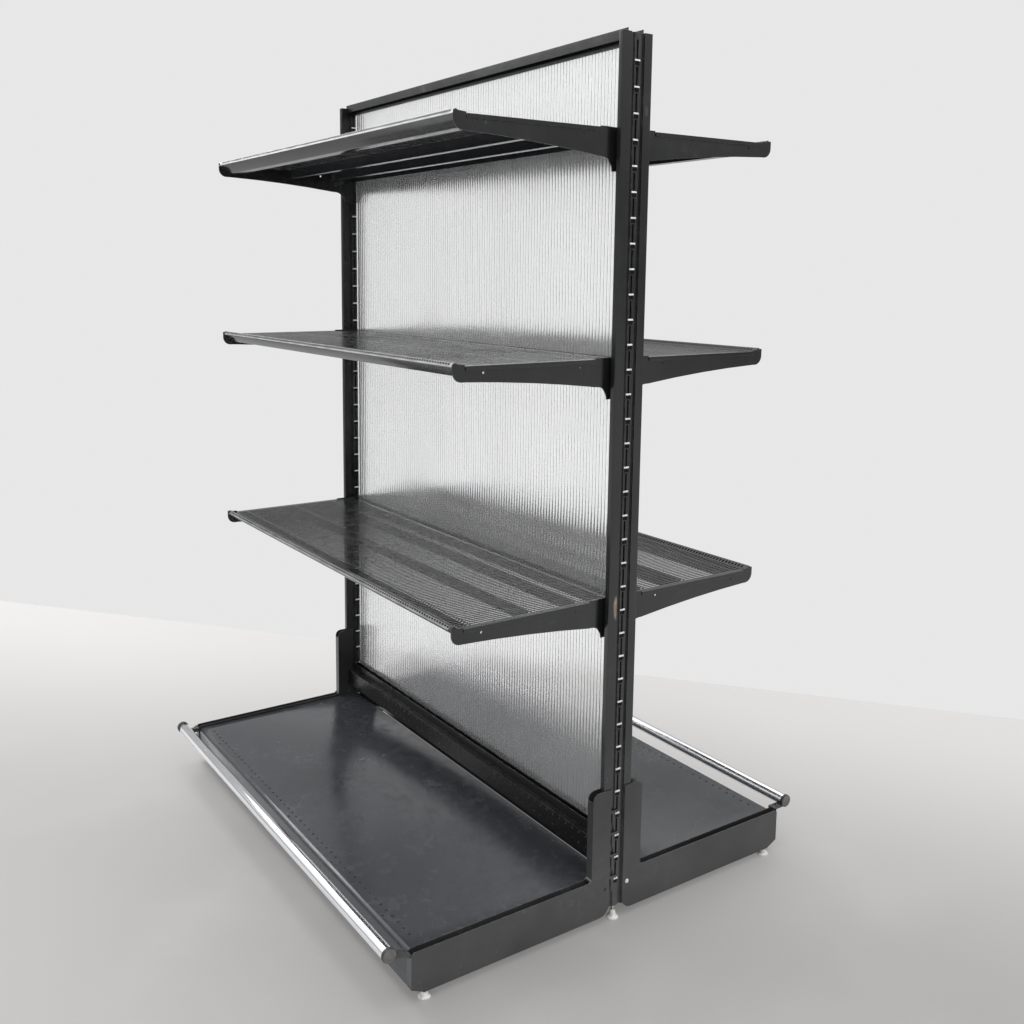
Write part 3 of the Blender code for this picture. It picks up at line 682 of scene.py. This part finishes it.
deck = makeDeck()
for face in faces:
    node = "base_deck_" + face
    dress(copied(deck, "drilled_deck_" + face, turned=face == "front"), node, None)
dropped(deck)
print("decks made")


kickShape = {"holeRadius": 0.0024, "holePitch": 0.0233, "holes": 50, "rowsAt": (0.1725, 0.149)}


def makeKickStrip(face):
    look = kickShape
    node = "kick_strip_" + face
    low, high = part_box(node)
    strip = softened(node, "drilled_kick_strip_" + face, 0)
    outer = high.y if face == "back" else low.y
    for height in look["rowsAt"]:
        drilled(strip, "Y", look["holeRadius"], outer, height, look["holes"], look["holePitch"])
    return dress(smoothed(strip), node, shadedRailPaint)


for face in faces:
    makeKickStrip(face)
print("kick strips made")


bumperShape = {"corners": 64, "wall": 0.0015, "rim": 0.0003, "capCorners": 48, "capEdge": 0.0016,
               "capGap": 0.0003, "capDish": 0.0006, "capRing": 0.28, "stemPlay": 0.0004}
acrossBay = (0, math.pi / 2, 0)  # turns a cylinder to lie along X


def makeTube(face):
    look = bumperShape
    node = "bumper_tube_" + face
    low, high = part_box(node)
    tube = begin("chrome_tube_" + face, "cylinder", vertices=look["corners"], radius=(high.z - low.z) / 2,
                 depth=high.x - low.x, end_fill_type="NOTHING", location=(low + high) / 2, rotation=acrossBay)
    shaped(tube, "SOLIDIFY", thickness=look["wall"], offset=-1)
    rounded(tube, look["rim"], 50)
    return dress(smoothed(tube), node, chromeTube)


# a domed plug: its head outside the tube and its stem inside
def makeCap(corner, way):
    look = bumperShape
    node = "bumper_cap_" + corner
    low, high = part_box(node)
    tubeLow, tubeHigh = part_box("bumper_tube_" + corner.split("_")[0])
    tubeEnd = tubeHigh.x if way > 0 else tubeLow.x
    outer = high.x if way > 0 else low.x
    stemEnd = low.x if way > 0 else high.x
    radius = (high.z - low.z) / 2
    stem = (tubeHigh.z - tubeLow.z) / 2 - look["wall"] - look["stemPlay"]
    seat = tubeEnd + way * look["capGap"]
    centre = ((outer + seat) / 2, (low.y + high.y) / 2, (low.z + high.z) / 2)
    cap = begin("end_cap_" + corner, "cylinder", vertices=look["capCorners"], radius=radius,
                depth=abs(outer - seat), location=centre, rotation=acrossBay)
    pick(cap, "faces", lambda spot, normal: way * normal.x > 0.9)
    bpy.ops.mesh.bevel(offset=look["capEdge"], segments=4, affect="EDGES")
    pick(cap, "faces", lambda spot, normal: way * normal.x > 0.9)
    bpy.ops.mesh.inset(thickness=radius * look["capRing"])
    bpy.ops.transform.translate(value=(-way * look["capDish"], 0, 0))
    pick(cap, "faces", lambda spot, normal: way * normal.x < -0.9)
    bpy.ops.mesh.inset(thickness=radius - stem)
    raised((stemEnd - seat, 0, 0))
    return dress(smoothed(cap), node, capPlastic)


for face in faces:
    makeTube(face)
    for side in sides:
        makeCap(face + "_" + side, 1 if side == "right" else -1)
print("bumpers made")


footShape = {"corners": 40, "lip": 0.0010, "rise": 0.005, "shoulder": 0.62, "shoulderRise": 0.0018,
             "neckFoot": 1.7, "neckTop": 1.45, "neckRise": 0.0008, "threadPitch": 0.00125,
             "threadDepth": 0.0003,
             "post": (0.003, 0.020), "leg": (0.004, 0.014)}  # each kind's stem radius and pad top


# a white pad turned about its stem, with the steel thread above it
def makeFoot(node, name, kind):
    look = footShape
    stem, padTop = look[kind]
    lip, rise = look["lip"], look["rise"]
    low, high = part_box(node)
    radius = (high.x - low.x) / 2
    centre = (low + high) / 2
    rings = [(radius, lip), (radius, rise - lip), (radius - lip, rise),
             (radius * look["shoulder"], rise + look["shoulderRise"]),
             (stem * look["neckFoot"], padTop - look["neckRise"]), (stem * look["neckTop"], padTop),
             (stem, padTop)]
    turns = int((high.z - low.z - padTop) / look["threadPitch"])
    for step in range(2 * turns):
        rings.append((stem - look["threadDepth"] * (step % 2), padTop + (step + 1) * look["threadPitch"] / 2))
    reach = radius - lip
    height = 0
    pad = begin(name, "circle", vertices=look["corners"], radius=reach, fill_type="NGON",
                location=(centre.x, centre.y, low.z))
    for wide, top in rings:
        raised((0, 0, top - height))
        bpy.ops.transform.resize(value=(wide / reach, wide / reach, 1),
                                 center_override=(centre.x, centre.y, 0))
        reach = wide
        height = top
    bpy.ops.mesh.select_all(action="SELECT")
    bpy.ops.mesh.normals_make_consistent(inside=False)
    only(pad)
    dress(pad, node, footPlastic)
    pad.data.materials.append(zincThread)
    for polygon in pad.data.polygons:
        polygon.material_index = 1 if polygon.center.z > low.z + padTop - hair else 0
    return smoothed(pad)


for side in sides:
    makeFoot("upright_foot_" + side, "post_foot_" + side, "post")
    for face in faces:
        corner = face + "_" + side
        makeFoot("leg_glide_" + corner, "leg_foot_" + corner, "leg")
print("feet made")


panelShape = {"fluteThick": 0.0007, "skin": 0.0006, "margin": 0.004, "endGap": 0.002}


# twin-wall sheet: an outer shell and the upright flutes inside it
def makePanel():
    look = panelShape
    low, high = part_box("back_panel")
    size = high - low
    panel = begin("fluted_panel", "cube", size=1)
    stretch(size, (low + high) / 2)
    only(panel)
    panel.data.materials.append(panelSkin)
    count = int((size.x - look["margin"]) / flutePitch)
    flute = begin("flute", "cube", size=1)
    stretch((look["fluteThick"], size.y - 2 * look["skin"], size.z - look["endGap"]),
            (rowStart(count, flutePitch), 0, (low.z + high.z) / 2))
    repeated(flute, count, (flutePitch, 0, 0))
    flute.data.materials.append(panelFlute)
    joined(panel, [flute])
    return dress(panel, "back_panel", None)


makePanel()
print("panel made")


edgeWidths = {"upright": 0.0003, "base_leg": 0.0004, "shelf_bracket": 0.0003, "bumper_arm": 0.0015,
              "top_rail": 0.0003, "bottom_rail": 0.0003}
for node in sorted(frame["nodes"]):
    for kind, width in edgeWidths.items():
        if node.startswith(kind) and not node.startswith("upright_foot"):
            # the bottom rails take the darker copy of the paint, as painted shade
            paint = shadedRailPaint if kind == "bottom_rail" else framePaint
            dress(softened(node, "painted_" + node, width), node, paint)
print("painted steel made")


lipShape = {"wide": 0.0130, "tall": 0.0034, "proud": 0.0014, "slope": 0.0011,
            "recessWide": 0.0115, "recessTall": 0.0085, "recessDeep": 0.0011,
            "ribFace": 0.0055, "firstSlot": 0.0956, "pitch": 0.050, "slots": 35}


# under each slot, on both faces of the post: a pressed lip, painted pale as a painted highlight, and the
# recess below it, dark with painted shade
def makeLips(side):
    look = lipShape
    post = bpy.data.objects["painted_upright_" + side]
    low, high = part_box("upright_" + side)
    lips = []
    for way in (-1, 1):
        face = (low.x + high.x) / 2 + way * look["ribFace"]
        recess = begin("recess", "cube", size=1)
        stretch((2 * look["recessDeep"], look["recessWide"], look["recessTall"]),
                (face, 0, look["firstSlot"] - look["tall"] - look["recessTall"] / 2))
        repeated(recess, look["slots"], (0, 0, look["pitch"]))
        recess.data.materials.append(slotShade)
        shaped(post, "BOOLEAN", operation="DIFFERENCE", solver="EXACT", object=recess,
               material_mode="TRANSFER")
        dropped(recess)
        lip = begin("lip", "cube", size=1)
        stretch((look["proud"], look["wide"], look["tall"]),
                (face + way * look["proud"] / 2, 0, look["firstSlot"] - look["tall"] / 2))
        pick(lip, "edges", lambda one, two: min(one.z, two.z) > look["firstSlot"] - hair
             and min(way * (one.x - face), way * (two.x - face)) > hair)
        bpy.ops.transform.translate(value=(-way * look["slope"], 0, 0))
        repeated(lip, look["slots"], (0, 0, look["pitch"]))
        lip.data.materials.append(bareSteelAndHighlight)
        lips.append(lip)
    return joined(post, lips)


for side in sides:
    makeLips(side)
print("slot lips made")


rivetShape = {"radius": 0.0048, "proud": 0.0011, "edge": 0.00088, "depth": 0.031, "height": 0.0795,
              "corners": 24}


# a bare rivet head that fills the hole in the outer web of a leg
def makeRivet(corner, way):
    look = rivetShape
    leg = bpy.data.objects["painted_base_leg_" + corner]
    low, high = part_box("base_leg_" + corner)
    outer = high.x if way > 0 else low.x
    depth = look["depth"] if corner.startswith("back") else -look["depth"]
    rivet = begin("rivet", "cylinder", vertices=look["corners"], radius=look["radius"], depth=look["proud"],
                  location=(outer + way * look["proud"] / 2, depth, look["height"]), rotation=acrossBay)
    pick(rivet, "faces", lambda spot, normal: way * normal.x > 0.9)
    bpy.ops.mesh.bevel(offset=look["edge"], segments=3, affect="EDGES")
    only(rivet)
    rivet.data.materials.append(bareSteelAndHighlight)
    return joined(leg, [smoothed(rivet)])


for corner, way in (("back_right", 1), ("front_left", -1)):
    makeRivet(corner, way)
print("rivets made")


studio = {
    "floorSize": 60, "floor": (0.192, 0.189, 0.187, 1), "floorFar": (0.318, 0.312, 0.307, 1),
    "bounce": (0.60, 0.60, 0.60, 1), "lift": 0.80,
    # the wall as the camera sees it, as it is mirrored and as it is seen through the panel
    "wall": 0.80, "mirrored": 0.56, "through": 1.02, "wallWay": (-0.64, 0.768, 0), "wallAway": 1.04,
    # light from high above the wall, from low on the other sides and from higher up there
    "high": 2.0, "low": 0.30, "elsewhere": 1.4,
    # each lamp's place, aim, size and power
    "lamps": {"overhead": ((0.5, -0.5, 4.2), (0.5, -0.5, 0), (3.5, 3.5), 35),
              "window": ((-4.1, -1.4, 4.1), (0, -0.3, 1.2), (3.6, 2.4), 150)},
}


# a pale floor that ends at the wall, painted paler towards the wall as painted light; the camera sees it
# lifted, other rays get its bounce
def makeFloor():
    wallWay = Vector(studio["wallWay"])
    floor = begin("floor", "plane", size=studio["floorSize"])
    bpy.ops.mesh.bisect(plane_co=wallWay * studio["wallAway"], plane_no=wallWay, clear_outer=True)
    only(floor)
    material, place = startMaterial("paleFloor")
    away = place.vector("DOT_PRODUCT", studio["wallWay"], "Value")
    stain = place.noise(1.3, detail=5.0)
    # painted light: the floor's colour grows paler towards the wall
    colour = away.ramp(-0.6, 1.0).blend(studio["floor"], studio["floorFar"])
    colour = colour.under(stain.ramp(0.45, 0.7) * 0.2, studio["floorFar"])
    seen = place.math("MAXIMUM", place.ray("Camera"), place.ray("Transmission"))
    glow = seen.blend((0, 0, 0, 1), colour)
    colour = seen.blend(studio["bounce"], colour)
    closeMaterial(place, {"Base Color": colour, "Roughness": 0.5, "Emission Color": glow,
                          "Emission Strength": studio["lift"]})
    floor.data.materials.append(material)


# a pale wall behind the floor's edge, bright above, darker low down on the other sides
def makeWorld():
    world = bpy.data.worlds.new("studio")
    bpy.context.scene.world = world
    world.use_nodes = True
    world.node_tree.nodes.clear()
    tree = Wire(world.node_tree)
    way = tree.add("ShaderNodeTexCoord", out="Generated")
    up = way.axis("Z")
    facing = way.vector("DOT_PRODUCT", studio["wallWay"], "Value").ramp(0.1, 0.4)
    behind = studio["mirrored"] + tree.ray("Transmission") * (studio["through"] - studio["mirrored"])
    behind = behind + up.ramp(0.45, 0.90) * (studio["high"] - behind)
    elsewhere = studio["low"] + up.ramp(-0.05, 0.5) * (studio["elsewhere"] - studio["low"])
    around = facing * behind + (1 - facing) * elsewhere
    seen = tree.ray("Camera")
    light = seen * studio["wall"] + (1 - seen) * around
    shine = tree.add("ShaderNodeBackground", {"Color": (1, 1, 1, 1), "Strength": light})
    tree.add("ShaderNodeOutputWorld", {"Surface": shine})


def makeLamps():
    for name, (spot, target, size, power) in studio["lamps"].items():
        data = bpy.data.lights.new(name, "AREA")
        data.energy = power
        data.shape = "RECTANGLE"
        data.size, data.size_y = size
        lamp = bpy.data.objects.new(name, data)
        bpy.context.scene.collection.objects.link(lamp)
        lamp.location = spot
        lamp.rotation_euler = (Vector(target) - Vector(spot)).to_track_quat("-Z", "Y").to_euler()
        lamp.visible_camera = False


cameraView = {"eye": (2.2092, -1.4363, 1.3865), "look": (-0.83035, 0.53941, -0.13981), "roll": 0.00586,
              "lens": 37.28, "shift": (0.0467, -0.0882)}


def makeCamera():
    data = bpy.data.cameras.new("camera")
    data.lens = cameraView["lens"]
    data.shift_x, data.shift_y = cameraView["shift"]
    camera = bpy.data.objects.new("camera", data)
    bpy.context.scene.collection.objects.link(camera)
    camera.location = cameraView["eye"]
    camera.rotation_mode = "QUATERNION"
    level = Vector(cameraView["look"]).to_track_quat("-Z", "Y")
    camera.rotation_quaternion = level @ Quaternion((0, 0, 1), cameraView["roll"])
    bpy.context.scene.camera = camera


makeFloor()
makeWorld()
makeLamps()
makeCamera()
bpy.context.scene.view_settings.view_transform = "Standard"
print("studio and camera made")
